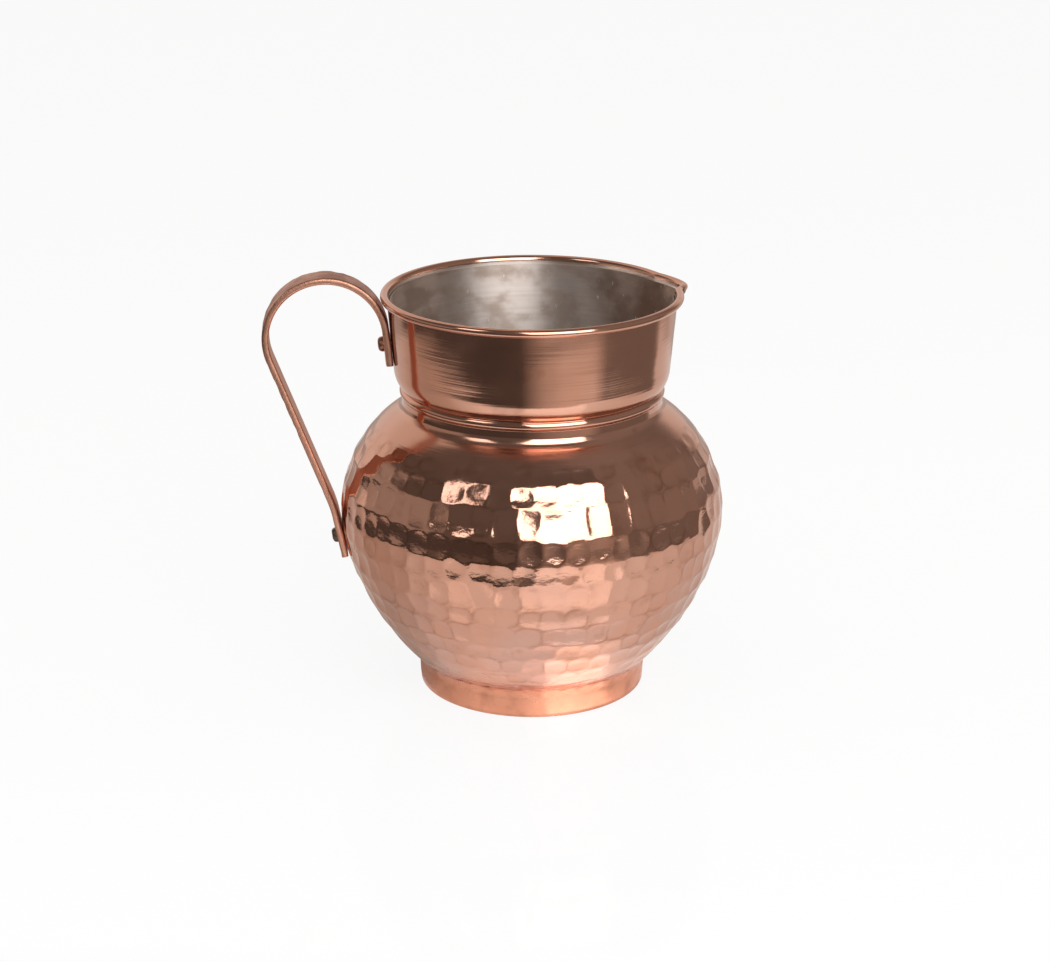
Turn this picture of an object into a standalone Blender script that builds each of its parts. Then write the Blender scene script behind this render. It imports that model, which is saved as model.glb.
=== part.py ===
"""Hammered copper pitcher: raised vessel, tin lining, soldered foot ring and riveted strap handle.

Metres, +Z up. The ground is z = 0 and the origin lies under the middle of the whole object's box.
The handle points along -X and the pouring lip roughly along +X.
"""
import math

import bmesh
import bpy
from mathutils import Matrix, Vector

# Fits between neighbouring pieces
CLEARANCE = 0.0003

# Foot ring
FOOT_RADIUS = 0.0420
FOOT_HEIGHT = 0.0100
FOOT_TAPER = 0.0005
FOOT_WALL = 0.0016
FOOT_CHAMFER = 0.0004

# Solder fillet inside the foot
SOLDER_LEG = 0.0024
SOLDER_HOLLOW = 0.0005

# Vessel, outer side of the sheet
SHEET = 0.0008
BASE_DROP = 0.0040
BASE_CORNER = 0.0036
BOWL_HEIGHT = 0.0570
BOWL_SLOPE_DEG = 45.0
BOWL_LOWER_PULL = 0.0315
BOWL_UPPER_PULL = 0.0125
BELLY_RADIUS = 0.0700
SHOULDER_RADIUS = 0.0445
THROAT_RADIUS = 0.0472
THROAT_FILLET = 0.0070
COLLAR_HEIGHT = 0.0050
COLLAR_PROUD = 0.0008
NECK_STEP = 0.0027
NECK_CORNER = 0.0090
NECK_FLARE = 0.0022
NECK_WALL_HEIGHT = 0.0254

# Rolled rim and its wire
BEAD_DIAMETER = 0.0030
BEAD_OPEN_DEG = 80.0
WIRE_DIAMETER = 0.0010

# Pouring lip, pinched out of the rim
LIP_REACH = 0.0032
LIP_DEPTH = 0.0070
LIP_HALF_DEG = 16.0
LIP_TURN_DEG = 7.5
LIP_TIP_ROUND = 0.25

# Tin lining
LINING = 0.0003
LINING_STOP = 0.0010

# Handle strap
STRAP_WIDTH = 0.0120
STRAP_THICKNESS = 0.0026
STRAP_EDGE_ROUND = 0.0007
UPPER_RIVET_DROP = 0.0170
UPPER_TAIL = 0.0070
UPPER_RISE = 0.0050
LOWER_RIVET_HEIGHT = 0.0576
LOWER_TAIL = 0.0072
LOWER_RISE = 0.0080
LOOP_RADIUS = 0.0215
BEND_RADIUS = 0.0400

# Rivets
SHANK_DIAMETER = 0.0032
HEAD_DIAMETER = 0.0056
UPPER_HEAD_HEIGHT = 0.0022
LOWER_HEAD_HEIGHT = 0.0019
PEEN_DIAMETER = 0.0052
PEEN_HEIGHT = 0.0012

# Mesh fineness
TURN_STEPS = 48
RIVET_STEPS = 20
WIRE_STEPS = 8
BOWL_STEPS = 7
SHOULDER_STEPS = 5
SMALL_ARC_STEPS = 3
BEAD_STEPS = 7
LOOP_STEPS = 22

COPPER = (0.72, 0.40, 0.29)
DULL_COPPER = (0.62, 0.32, 0.23)
TIN = (0.58, 0.55, 0.52)
SOLDER = (0.50, 0.49, 0.47)


def clear_scene():
    for item in list(bpy.data.objects):
        bpy.data.objects.remove(item, do_unlink=True)


def metal(name, colour, roughness):
    material = bpy.data.materials.new(name)
    material.use_nodes = True
    shader = material.node_tree.nodes["Principled BSDF"]
    shader.inputs["Base Color"].default_value = (*colour, 1.0)
    shader.inputs["Metallic"].default_value = 1.0
    shader.inputs["Roughness"].default_value = roughness
    return material


# Plane geometry: a point is Vector((distance from the axis, height))

def direction(angle):
    return Vector((math.cos(angle), math.sin(angle)))


def angle_of(vector):
    return math.atan2(vector.y, vector.x)


def left_of(vector):
    return Vector((-vector.y, vector.x))


def arc(centre, radius, start, end, steps):
    turn = (end - start) / steps
    return [centre + radius * direction(start + turn * i) for i in range(steps + 1)]


def bezier(start, first_pull, second_pull, end, steps):
    points = []
    for i in range(steps + 1):
        t = i / steps
        s = 1.0 - t
        points.append(s**3 * start + 3 * s * s * t * first_pull + 3 * s * t * t * second_pull + t**3 * end)
    return points


def offset_path(path, distance):
    """The path moved sideways, to the left of its direction, with mitred corners."""
    moved = []
    last = len(path) - 1
    for i, point in enumerate(path):
        arriving = (path[max(i, 1)] - path[max(i, 1) - 1]).normalized()
        leaving = (path[min(i, last - 1) + 1] - path[min(i, last - 1)]).normalized()
        normal_in = left_of(arriving)
        normal_out = left_of(leaving)
        mitre = (normal_in + normal_out) / (1.0 + normal_in.dot(normal_out))
        moved.append(point + mitre * distance)
    return moved


# The vessel's outer profile, from the middle of the bottom up to the rolled rim

BOWL_SLOPE = math.radians(BOWL_SLOPE_DEG)
BOWL_DIRECTION = Vector((math.sin(BOWL_SLOPE), math.cos(BOWL_SLOPE)))
FOOT_SEAT = Vector((FOOT_RADIUS, FOOT_HEIGHT))
BELLY = Vector((BELLY_RADIUS, FOOT_HEIGHT + BOWL_HEIGHT))
SHOULDER_CENTRE = BELLY - Vector((SHOULDER_RADIUS, 0.0))
THROAT_REACH = SHOULDER_RADIUS + THROAT_FILLET
THROAT_OFFSET = THROAT_RADIUS + THROAT_FILLET - SHOULDER_CENTRE.x
THROAT_CENTRE = SHOULDER_CENTRE + Vector((THROAT_OFFSET, math.sqrt(THROAT_REACH**2 - THROAT_OFFSET**2)))
COLLAR_TOP = THROAT_CENTRE.y + COLLAR_HEIGHT
NECK_CORNER_TURN = math.acos(1.0 - NECK_STEP / NECK_CORNER)
NECK_BASE = Vector((THROAT_RADIUS + NECK_STEP, COLLAR_TOP + NECK_CORNER * math.sin(NECK_CORNER_TURN)))
NECK_TOP = NECK_BASE + Vector((NECK_FLARE, NECK_WALL_HEIGHT))
BEAD_CENTRE = NECK_TOP + Vector((BEAD_DIAMETER / 2 - SHEET, 0.0))
BEAD_BOTTOM = BEAD_CENTRE.y - BEAD_DIAMETER / 2


def base_path():
    """The flat bottom and its rounded corner, up to the foot's seat."""
    corner = FOOT_SEAT - BOWL_DIRECTION * BASE_DROP / math.cos(BOWL_SLOPE)
    turn = math.pi / 2 - BOWL_SLOPE
    centre = corner + Vector((-BASE_CORNER * math.tan(turn / 2), BASE_CORNER))
    rounded = arc(centre, BASE_CORNER, -math.pi / 2, -math.pi / 2 + turn, SMALL_ARC_STEPS)
    return [Vector((0.0, corner.y)), *rounded]


def bowl_path():
    lower = FOOT_SEAT + BOWL_DIRECTION * BOWL_LOWER_PULL
    upper = BELLY - Vector((0.0, BOWL_UPPER_PULL))
    return bezier(FOOT_SEAT, lower, upper, BELLY, BOWL_STEPS)


def shoulder_path():
    """The convex shoulder, then the hollow fillet that runs up into the throat."""
    meeting = angle_of(THROAT_CENTRE - SHOULDER_CENTRE)
    shoulder = arc(SHOULDER_CENTRE, SHOULDER_RADIUS, 0.0, meeting, SHOULDER_STEPS)
    fillet = arc(THROAT_CENTRE, THROAT_FILLET, math.pi + meeting, math.pi, SMALL_ARC_STEPS)
    return shoulder[1:] + fillet[1:]


def collar_path():
    """The small raised ring round the throat."""
    radius = (COLLAR_HEIGHT**2 / 4 + COLLAR_PROUD**2) / (2 * COLLAR_PROUD)
    half = math.asin(COLLAR_HEIGHT / 2 / radius)
    centre = Vector((THROAT_RADIUS + COLLAR_PROUD - radius, COLLAR_TOP - COLLAR_HEIGHT / 2))
    return arc(centre, radius, -half, half, SMALL_ARC_STEPS)[1:]


def neck_path():
    """The rounded foot of the neck and its flaring wall, with closer rings where the lip is pinched."""
    centre = NECK_BASE - Vector((NECK_CORNER, 0.0))
    corner = arc(centre, NECK_CORNER, -NECK_CORNER_TURN, 0.0, SMALL_ARC_STEPS)[1:]
    lip_start = BEAD_BOTTOM - LIP_DEPTH
    heights = [lip_start + LIP_DEPTH * i / SMALL_ARC_STEPS for i in range(SMALL_ARC_STEPS + 1)]
    wall = [NECK_BASE.lerp(NECK_TOP, (height - NECK_BASE.y) / NECK_WALL_HEIGHT) for height in heights]
    return corner + wall + [NECK_TOP]


def outer_path():
    return base_path() + bowl_path() + shoulder_path() + collar_path() + neck_path()


def wall_at(height):
    """Point, outward normal and upward tangent of the vessel's outer side at a height above the foot."""
    path = bowl_path() + shoulder_path() + collar_path() + neck_path()
    for lower, upper in zip(path, path[1:]):
        if lower.y <= height <= upper.y:
            break
    tangent = (upper - lower).normalized()
    point = lower.lerp(upper, (height - lower.y) / (upper.y - lower.y))
    return point, -left_of(tangent), tangent


def lip_shift(azimuth, height):
    """How far the pinched lip moves a point of the neck outward."""
    across = (azimuth - math.radians(LIP_TURN_DEG)) / math.radians(LIP_HALF_DEG)
    if abs(across) >= 1.0:
        return 0.0
    edge = math.hypot(1.0, LIP_TIP_ROUND)
    share = (edge - math.hypot(across, LIP_TIP_ROUND)) / (edge - LIP_TIP_ROUND)
    rise = min(max((height - BEAD_BOTTOM) / LIP_DEPTH + 1.0, 0.0), 1.0)
    return LIP_REACH * share * rise * rise


# Building objects

def add_object(name, builder, material, parent):
    for face in builder.faces:
        face.smooth = True
    bmesh.ops.recalc_face_normals(builder, faces=builder.faces)
    mesh = bpy.data.meshes.new(name)
    builder.to_mesh(mesh)
    builder.free()
    mesh.set_sharp_from_angle(angle=math.radians(32.0))
    mesh.materials.append(material)
    made = bpy.data.objects.new(name, mesh)
    made.parent = parent
    bpy.context.scene.collection.objects.link(made)
    return made


def turned(outline, steps):
    """Spin a profile about Z. A profile that starts and ends on the axis is left open there."""
    builder = bmesh.new()
    points = [builder.verts.new((point.x, 0.0, point.y)) for point in outline]
    pairs = list(zip(points, points[1:]))
    if outline[0].x > 0.0:
        pairs.append((points[-1], points[0]))
    edges = [builder.edges.new(pair) for pair in pairs]
    bmesh.ops.spin(
        builder, geom=points + edges, cent=(0.0, 0.0, 0.0), axis=(0.0, 0.0, 1.0),
        angle=2 * math.pi, steps=steps, use_merge=True)
    bmesh.ops.remove_doubles(builder, verts=builder.verts, dist=1e-6)
    return builder


def pinch_lip(builder):
    """Pull the lip out, and split the faces that it bends so that nested skins bend alike."""
    bent = set()
    for vertex in builder.verts:
        reach = math.hypot(vertex.co.x, vertex.co.y)
        shift = lip_shift(math.atan2(vertex.co.y, vertex.co.x), vertex.co.z)
        if shift > 0.0:
            vertex.co.x *= 1.0 + shift / reach
            vertex.co.y *= 1.0 + shift / reach
            bent.update(vertex.link_faces)
    bmesh.ops.triangulate(builder, faces=list(bent), quad_method="SHORT_EDGE")


def drill(target, cutters):
    for cutter in cutters:
        hole = target.modifiers.new("rivet_hole", "BOOLEAN")
        hole.operation = "DIFFERENCE"
        hole.solver = "EXACT"
        hole.object = cutter


# Sub-parts

def make_vessel_body(material, parent):
    outer = outer_path()
    inner = offset_path(outer, SHEET)[:-1]
    opening = -math.pi / 2 - math.radians(90.0 - BEAD_OPEN_DEG)
    hollow = arc(BEAD_CENTRE, BEAD_DIAMETER / 2 - SHEET, math.pi, opening, BEAD_STEPS)[1:]
    round_side = arc(BEAD_CENTRE, BEAD_DIAMETER / 2, opening, math.pi, BEAD_STEPS)
    builder = turned(outer + hollow + round_side + inner[::-1], TURN_STEPS)
    pinch_lip(builder)
    return add_object("vessel_body", builder, material, parent)


def make_tin_lining(material, parent):
    wall = outer_path()
    wall[-1] = wall[-2].lerp(wall[-1], 1.0 - LINING_STOP / (wall[-1] - wall[-2]).length)
    outside = offset_path(wall, SHEET + CLEARANCE)
    inside = offset_path(wall, SHEET + CLEARANCE + LINING)
    builder = turned(outside + inside[::-1], TURN_STEPS)
    pinch_lip(builder)
    return add_object("tin_lining", builder, material, parent)


def make_rim_wire(material, parent):
    section = arc(BEAD_CENTRE, WIRE_DIAMETER / 2, 0.0, 2 * math.pi, WIRE_STEPS)[:-1]
    builder = turned(section, TURN_STEPS)
    pinch_lip(builder)
    return add_object("rim_wire", builder, material, parent)


def seat_drop(radius):
    """Height of the line that lies a clearance below the bowl's underside, inside the foot."""
    return FOOT_HEIGHT - (FOOT_RADIUS - radius) / math.tan(BOWL_SLOPE) - CLEARANCE / math.sin(BOWL_SLOPE)


def make_foot_ring(material, parent):
    bottom = FOOT_RADIUS - FOOT_TAPER
    inside = FOOT_RADIUS - FOOT_WALL
    outline = [
        Vector((FOOT_RADIUS, seat_drop(FOOT_RADIUS))),
        Vector((bottom, FOOT_CHAMFER)),
        Vector((bottom - FOOT_CHAMFER, 0.0)),
        Vector((inside - FOOT_TAPER, 0.0)),
        Vector((inside, seat_drop(inside))),
    ]
    return add_object("foot_ring", turned(outline, TURN_STEPS), material, parent)


def make_foot_solder(material, parent):
    """A hollow-faced fillet in the corner between the ring's inner side and the bowl."""
    wall = FOOT_RADIUS - FOOT_WALL - FOOT_TAPER - CLEARANCE
    corner = Vector((wall, seat_drop(wall)))
    down = corner - Vector((0.0, SOLDER_LEG))
    along = corner - BOWL_DIRECTION * SOLDER_LEG
    middle = down.lerp(along, 0.5)
    hollow = middle + (corner - middle).normalized() * SOLDER_HOLLOW
    return add_object("foot_solder", turned([corner, down, hollow, along], TURN_STEPS), material, parent)


def strap_line():
    """Centre line of the bent strap, from its lower end to its upper end."""
    stand_off = CLEARANCE + STRAP_THICKNESS / 2
    low_wall, low_out, low_up = wall_at(LOWER_RIVET_HEIGHT)
    low_pad = low_wall + low_out * stand_off
    bend_start = low_pad + low_up * LOWER_RISE
    top_wall, top_out, top_up = wall_at(NECK_TOP.y - UPPER_RIVET_DROP)
    top_pad = top_wall + top_out * stand_off
    loop_end = top_pad + top_up * UPPER_RISE
    loop_centre = loop_end + top_out * LOOP_RADIUS
    # The bend turns outward where the straight run leans out more than the lower pad, otherwise inward
    lean = angle_of(low_up)
    aim = loop_centre - bend_start
    side = 1.0 if angle_of(aim) - math.asin(LOOP_RADIUS / aim.length) > lean else -1.0
    bend_centre = bend_start - low_out * BEND_RADIUS * side
    # The straight run touches the bend and the outside of the loop
    span = loop_centre - bend_centre
    run_angle = angle_of(span) - math.asin((LOOP_RADIUS - side * BEND_RADIUS) / span.length)
    quarter = side * math.pi / 2
    bend = arc(bend_centre, BEND_RADIUS, lean - quarter, run_angle - quarter, SMALL_ARC_STEPS)
    loop_stop = angle_of(-top_out) % (2 * math.pi)
    loop = arc(loop_centre, LOOP_RADIUS, run_angle - math.pi / 2, loop_stop, LOOP_STEPS)
    return [low_pad - low_up * LOWER_TAIL, *bend, *loop, top_pad - top_up * UPPER_TAIL]


def strap_outline():
    line = strap_line()
    outer = offset_path(line, -STRAP_THICKNESS / 2)
    inner = offset_path(line, STRAP_THICKNESS / 2)
    return outer + inner[::-1]


def make_handle_strap(material, parent):
    builder = bmesh.new()
    side = builder.faces.new([builder.verts.new((-p.x, -STRAP_WIDTH / 2, p.y)) for p in strap_outline()])
    swept = bmesh.ops.extrude_face_region(builder, geom=[side])
    far_side = [item for item in swept["geom"] if isinstance(item, bmesh.types.BMVert)]
    bmesh.ops.translate(builder, verts=far_side, vec=(0.0, STRAP_WIDTH, 0.0))
    strap = add_object("handle_strap", builder, material, parent)
    rounding = strap.modifiers.new("edge_round", "BEVEL")
    rounding.width = STRAP_EDGE_ROUND
    rounding.segments = 2
    rounding.limit_method = "ANGLE"
    rounding.angle_limit = math.radians(60.0)
    return strap


def rivet_frame(height):
    """Matrix whose Z axis leaves the vessel's wall at a rivet, in the handle's plane."""
    point, out, up = wall_at(height)
    along = Vector((-out.x, 0.0, out.y))
    upward = Vector((-up.x, 0.0, up.y))
    frame = Matrix((upward.cross(along), upward, along)).transposed().to_4x4()
    frame.translation = Vector((-point.x, 0.0, point.y))
    return frame


def make_rivet(name, height, head_height, material, parent):
    """Turned rivet: rounded head on the strap, shank through the wall, peened head on the lining."""
    head_seat = CLEARANCE + STRAP_THICKNESS + CLEARANCE
    peen_seat = -(SHEET + CLEARANCE + LINING + CLEARANCE)
    shank = SHANK_DIAMETER / 2
    head = HEAD_DIAMETER / 2
    peen = PEEN_DIAMETER / 2
    rounding = head_height / 2
    head_corner = Vector((head - rounding, head_seat + rounding))
    outline = [
        Vector((0.0, head_seat + head_height)),
        *arc(head_corner, rounding, math.pi / 2, 0.0, SMALL_ARC_STEPS),
        Vector((head, head_seat)),
        Vector((shank, head_seat)),
        Vector((shank, peen_seat)),
        Vector((peen, peen_seat)),
        Vector((peen * 0.8, peen_seat - PEEN_HEIGHT * 0.6)),
        Vector((peen * 0.4, peen_seat - PEEN_HEIGHT * 0.95)),
        Vector((0.0, peen_seat - PEEN_HEIGHT)),
    ]
    rivet = add_object(name, turned(outline, RIVET_STEPS), material, parent)
    rivet.matrix_local = rivet_frame(height)
    return rivet


def make_drill(name, height, material, parent):
    """A cutter that makes one rivet's hole through the strap, the wall and the lining."""
    builder = bmesh.new()
    reach = 2 * STRAP_THICKNESS + 2 * SHEET + 2 * LINING + 4 * CLEARANCE
    bmesh.ops.create_cone(
        builder, cap_ends=True, segments=RIVET_STEPS, depth=2 * reach,
        radius1=SHANK_DIAMETER / 2 + CLEARANCE, radius2=SHANK_DIAMETER / 2 + CLEARANCE)
    cutter = add_object(name, builder, material, parent)
    cutter.matrix_local = rivet_frame(height)
    cutter.hide_render = True
    cutter.display_type = "WIRE"
    return cutter


def main():
    clear_scene()
    handle_reach = max(point.x for point in strap_outline())
    stand = bpy.data.objects.new("pitcher_axis", None)
    stand.location = ((handle_reach - BELLY_RADIUS) / 2, 0.0, 0.0)
    bpy.context.scene.collection.objects.link(stand)

    upper_height = NECK_TOP.y - UPPER_RIVET_DROP
    vessel = make_vessel_body(metal("hammered_copper", COPPER, 0.14), stand)
    lining = make_tin_lining(metal("wiped_tin", TIN, 0.38), stand)
    make_rim_wire(metal("wire_copper", DULL_COPPER, 0.40), stand)
    make_foot_ring(metal("foot_copper", COPPER, 0.30), stand)
    make_foot_solder(metal("soft_solder", SOLDER, 0.45), stand)
    strap = make_handle_strap(metal("strap_copper", COPPER, 0.30), stand)
    rivet_copper = metal("rivet_copper", DULL_COPPER, 0.35)
    make_rivet("upper_rivet", upper_height, UPPER_HEAD_HEIGHT, rivet_copper, stand)
    make_rivet("lower_rivet", LOWER_RIVET_HEIGHT, LOWER_HEAD_HEIGHT, rivet_copper, stand)

    upper_drill = make_drill("upper_drill", upper_height, rivet_copper, stand)
    lower_drill = make_drill("lower_drill", LOWER_RIVET_HEIGHT, rivet_copper, stand)
    for piece in (vessel, lining, strap):
        drill(piece, (upper_drill, lower_drill))


main()
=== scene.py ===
"""Looks of the copper pitcher: hammered belly, turned neck, wiped tin inside and a riveted strap.

Metres, +Z up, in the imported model's frame. The vessel stands on its own axis, which lies off the origin.
"""

import math

import bpy
import numpy as np
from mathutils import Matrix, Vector


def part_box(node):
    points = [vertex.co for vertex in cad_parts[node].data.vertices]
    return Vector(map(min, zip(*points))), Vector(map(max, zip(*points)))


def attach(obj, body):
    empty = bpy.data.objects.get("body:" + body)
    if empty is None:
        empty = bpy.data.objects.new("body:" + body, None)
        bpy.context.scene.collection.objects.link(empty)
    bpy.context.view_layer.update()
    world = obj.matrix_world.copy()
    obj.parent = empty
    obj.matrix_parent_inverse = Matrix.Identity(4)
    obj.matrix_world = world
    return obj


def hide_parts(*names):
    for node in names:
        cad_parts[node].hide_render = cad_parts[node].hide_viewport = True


# Vessel sizes, as packed apart from the throat's ring, the foot of the neck and the lip
FOOT_RADIUS = 0.0420
FOOT_HEIGHT = 0.0100
FOOT_TAPER = 0.0005
FOOT_WALL = 0.0016
SHEET = 0.0008
BASE_DROP = 0.0040
BASE_CORNER = 0.0036
BOWL_HEIGHT = 0.0570
BOWL_SLOPE_DEG = 45.0
BOWL_LOWER_PULL = 0.0315
BOWL_UPPER_PULL = 0.0125
BELLY_RADIUS = 0.0700
SHOULDER_RADIUS = 0.0445
THROAT_RADIUS = 0.0472
THROAT_FILLET = 0.0070
COLLAR_RISE = 0.00043
COLLAR_HEIGHT = 0.0032
COLLAR_PROUD = 0.0008
NECK_STEP = 0.0027
NECK_FOOT_RISE = 0.0078
NECK_FLARE = 0.0022
NECK_WALL_HEIGHT = 0.0254
BEAD_DIAMETER = 0.0030
BEAD_END_DEG = -100.0
LIP_REACH = 0.0032
LIP_DEPTH = 0.0040
LIP_NEAR_DEG = 7.0
LIP_FAR_DEG = 17.0
LIP_TURN_DEG = 7.5
LIP_TIP_ROUND = 0.20
LINING_GAP = 0.0003
LINING = 0.0003
LINING_STOP = 0.0010
RIM_TIN_TOP = 0.1468
RIM_TIN_FADE = 0.0010

# Handle and rivet sizes, as packed apart from the strap's rounder edges
STRAP_WIDTH = 0.0120
STRAP_THICKNESS = 0.0026
STRAP_EDGE_ROUND = 0.0009
STRAP_SEAT = 0.0001
UPPER_RIVET_DROP = 0.0170
UPPER_TAIL = 0.0070
UPPER_RISE = 0.0050
LOWER_RIVET_HEIGHT = 0.0576
LOWER_TAIL = 0.0072
LOWER_RISE = 0.0080
LOOP_RADIUS = 0.0215
BEND_RADIUS = 0.0400
SHANK_DIAMETER = 0.0032
HEAD_DIAMETER = 0.0056
UPPER_HEAD_HEIGHT = 0.0022
LOWER_HEAD_HEIGHT = 0.0019
PEEN_DIAMETER = 0.0052
PEEN_HEIGHT = 0.0012

# Shoulder below the throat: where its straight slope starts, and how steeply the slope faces up
SLOPE_START_DEG = 54.0
SLOPE_FACES_DEG = 57.0
SLOPE_BLEND_BELOW = 0.0050
SLOPE_BLEND_ABOVE = 0.0020
SLOPE_FILLET = 0.0042

# Foot: the fillet that closes the corner below the bowl, soft edges, dents, and creases at the bowl
FOOT_FILLET = 0.0060
FOOT_TIP = 0.0004
FOOT_EDGE = 0.0005
FOOT_INNER_EDGE = 0.0006
FOOT_SET_BACK = 0.00008
FOOT_DENT = 0.00008
FOOT_DENT_WAVE = 0.012
FOOT_CREASE = 0.00016
FOOT_CREASE_WAVE = 0.005
FOOT_CREASE_CROWDING = 4
FOOT_FADE = 0.002

# Hammer marks: edges of their rings along the side from the foot's seat, each ring's depth and roundness
RING_EDGES = (
    0.0000, 0.0075, 0.0158, 0.0245, 0.0326, 0.0419, 0.0500, 0.0594, 0.0672, 0.0763, 0.0869, 0.0946, 0.1020)
RING_SHARES = (0.10, 0.55, 0.85, 1.0, 1.0, 1.0, 1.0, 1.0, 1.0, 1.0, 0.90, 0.35)
RING_ROUNDNESS = (0.4, 0.4, 0.45, 0.45, 0.45, 0.5, 0.6, 0.7, 1.0, 0.2, 0.15, 0.1)
MARK_SPACING = 0.0082
MARK_HOLLOW_UP = 0.0190
MARK_SIDE_RISE = 0.00018
MARK_SOFTNESS = 0.000030
# Softness of the closeness to a ridge, which sets how wide the painted shade along the ridges is
RIDGE_SHADE_SOFTNESS = 0.00007
MARK_REACH = 1.6
MARK_TURN_SPREAD = 0.06
MARK_PLACE_SPREAD = 0.00020
MARK_HOLLOW_RANGE = (0.85, 1.20)
MARK_DEPTH_RANGE = (0.92, 1.16)
MARK_TILT_UP = 0.03
MARK_TILT_ROUND = 0.025
RING_DRIFT = 0.0004
RING_WAVES = ((2, 1.7, 1.0), (5, 2.3, 0.6))
PAD_MARGIN = 0.0035
PAD_FLATNESS = 0.95

# Unevenness of turned surfaces: number of waves, waves round the vessel, and sizes on sheet and lining
WAVE_COUNT = 7
WAVES_ROUND = (2, 13)
SIDE_WAVE = 0.00005
SIDE_WAVELENGTH = 0.03
LINING_WAVE = 0.00008
LINING_WAVELENGTH = 0.02
LINING_SET_BACK = 0.0001
AXIS_HOLE = 0.0002

# Strap: dents of its planished outer face, how far that face lies back, and its uneven width
DENT_SPACING = 0.0021
DENT_HOLLOWS = (0.008, 0.016)
DENT_DEPTHS = (0.00008, 0.00022)
DENT_REACH = 0.006
STRAP_SET_BACK = 0.0001
STRAP_WIDTH_WAVE = 0.006
STRAP_WIDTH_TURNS = 310.0

# Rivets: fullness of their heads, and wear
RIVET_TIP = 0.0001
CROWN_FULLNESS = 0.7
PEEN_FULLNESS = 0.6
PEEN_EDGE = 0.5
RIVET_UNEVEN = 0.02
RIVET_WAVELENGTH = 0.006
RIVET_WEAR = 0.00006
RIVET_WEAR_FROM = 0.0004

# Seeds of the random parts
MARK_SEED = 11
SIDE_SEED = 3
LINING_SEED = 5
FOOT_DENT_SEED = 9
FOOT_CREASE_SEED = 13
STRAP_SEED = 21

# Mesh fineness
ARC_LEAST_STEPS = 8
ARC_FINENESS = 500
CURVE_POINTS = 201
SHARP_DEG = 50.0
VESSEL_COLUMNS = 400
RING_ROWS = (0.0, 0.035, 0.11, 0.23, 0.37, 0.50, 0.63, 0.77, 0.89, 0.965)
RIDGE_CROWDING = 0.6
PATH_STEP = 0.0005
PLAIN_STEP = 0.0016
UPPER_STEP = 0.0025
UPPER_BEND_DEG = 9.0
HIDDEN_STEP = 0.0120
HIDDEN_BEND_DEG = 24.0
LIP_ROWS = 7
CREASE_DEG = 25.0
CREASE_MARGIN = 0.00020
BEAD_STEP = 0.0005
BEAD_INNER_STEP = 0.0006
LINING_COLUMNS = 240
LINING_THINNING = 4
FOOT_COLUMNS = 288
FOOT_STEP = 0.0008
FOOT_FLARE_STEP = 0.0004
FOOT_UNDER_STEP = 0.0005
FOOT_INNER_STEP = 0.0012
STRAP_STEP = 0.0008
STRAP_AROUND = 60
RIVET_COLUMNS = 48
RIVET_STEP = 0.0003
SHANK_STEP = 0.001

# Colours
COPPER = (0.71, 0.375, 0.265)
PINK_COPPER = (0.70, 0.410, 0.320)
BROWN_COPPER = (0.40, 0.175, 0.105)
# The foot's more saturated orange is partly its own satin copper, partly painted warm light bounced from
# the belly
FOOT_COPPER = (0.74, 0.335, 0.215)
STRAP_COPPER = (0.74, 0.390, 0.275)
STRAP_BROWN = (0.44, 0.215, 0.155)
DULL_COPPER = (0.33, 0.165, 0.110)
# The lower rivet's copper: grey tarnish, darkened further as painted shade
GREY_AND_SHADED_COPPER = (0.17, 0.120, 0.095)
TIN = (0.88, 0.79, 0.73)
DARK_TIN = (0.81, 0.72, 0.66)
BROWN_TIN = (0.68, 0.56, 0.48)
# Brown of the tin's stains, also used as painted shade towards +X
STAINED_AND_SHADED_TIN = (0.34, 0.23, 0.18)
SOLDER = (0.52, 0.51, 0.49)
DARK_SOLDER = (0.36, 0.35, 0.33)

# Heights between which the vessel's and the lining's finish changes. The tin's stain and painted shade go
# by X.
FOOT_CORNER_ENDS = (0.021, 0.011)
PINK_STARTS = (0.060, 0.022)
HAMMERING_ENDS = (0.101, 0.093)
TURNING_STARTS = (0.093, 0.101)
SLOPE_STARTS = (0.097, 0.100)
SLOPE_ENDS = (0.108, 0.105)
NECK_STARTS = (0.112, 0.120)
NECK_WEAR_ENDS = (0.146, 0.122)
SMOKE_STARTS = (0.136, 0.146)
TIN_STAIN_AND_SHADE_STARTS = (0.022, 0.062)

# Textures: waves per metre, the same all ways or along X, Y and Z
PATCH_WAVES = 42.0
STAIN_WAVES = 95.0
# Patches of the painted shade along the ridges between hammer marks
RIDGE_SHADE_WAVES = 75.0
POLISH_WAVES = 70.0
GRAIN_WAVES = 1200.0
TIN_STREAK_WAVES = (20.0, 20.0, 900.0)
TIN_CLOUD_WAVES = 55.0
TIN_SPECK_WAVES = 520.0
TIN_BLOTCH_WAVES = 85.0
TIN_BLOTCH_STRETCH = (1.0, 1.0, 1.6)
SATIN_PATCH_WAVES = 110.0
SATIN_GRAIN_WAVES = 650.0
STRAP_PATCH_WAVES = 140.0
STRAP_PIT_WAVES = 900.0
SOLDER_WAVES = 300.0
FLOOR_CLOUD_WAVES = 6.0
FLOOR_POLISH_WAVES = 90.0
FLOOR_GRAIN_WAVES = 500.0

# Textures: waves per metre along X, Y and Z, detail and depth of the vessel's lines, creases and wrinkles
WIDE_LINES = (14.0, 14.0, 800.0), 2.0, 0.000080
FINE_LINES = (22.0, 22.0, 1700.0), 3.0, 0.000030
CREASES = (60.0, 60.0, 620.0), 3.0, 0.00040
WRINKLES = (300.0, 300.0, 520.0), 4.0, 0.000100

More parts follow.
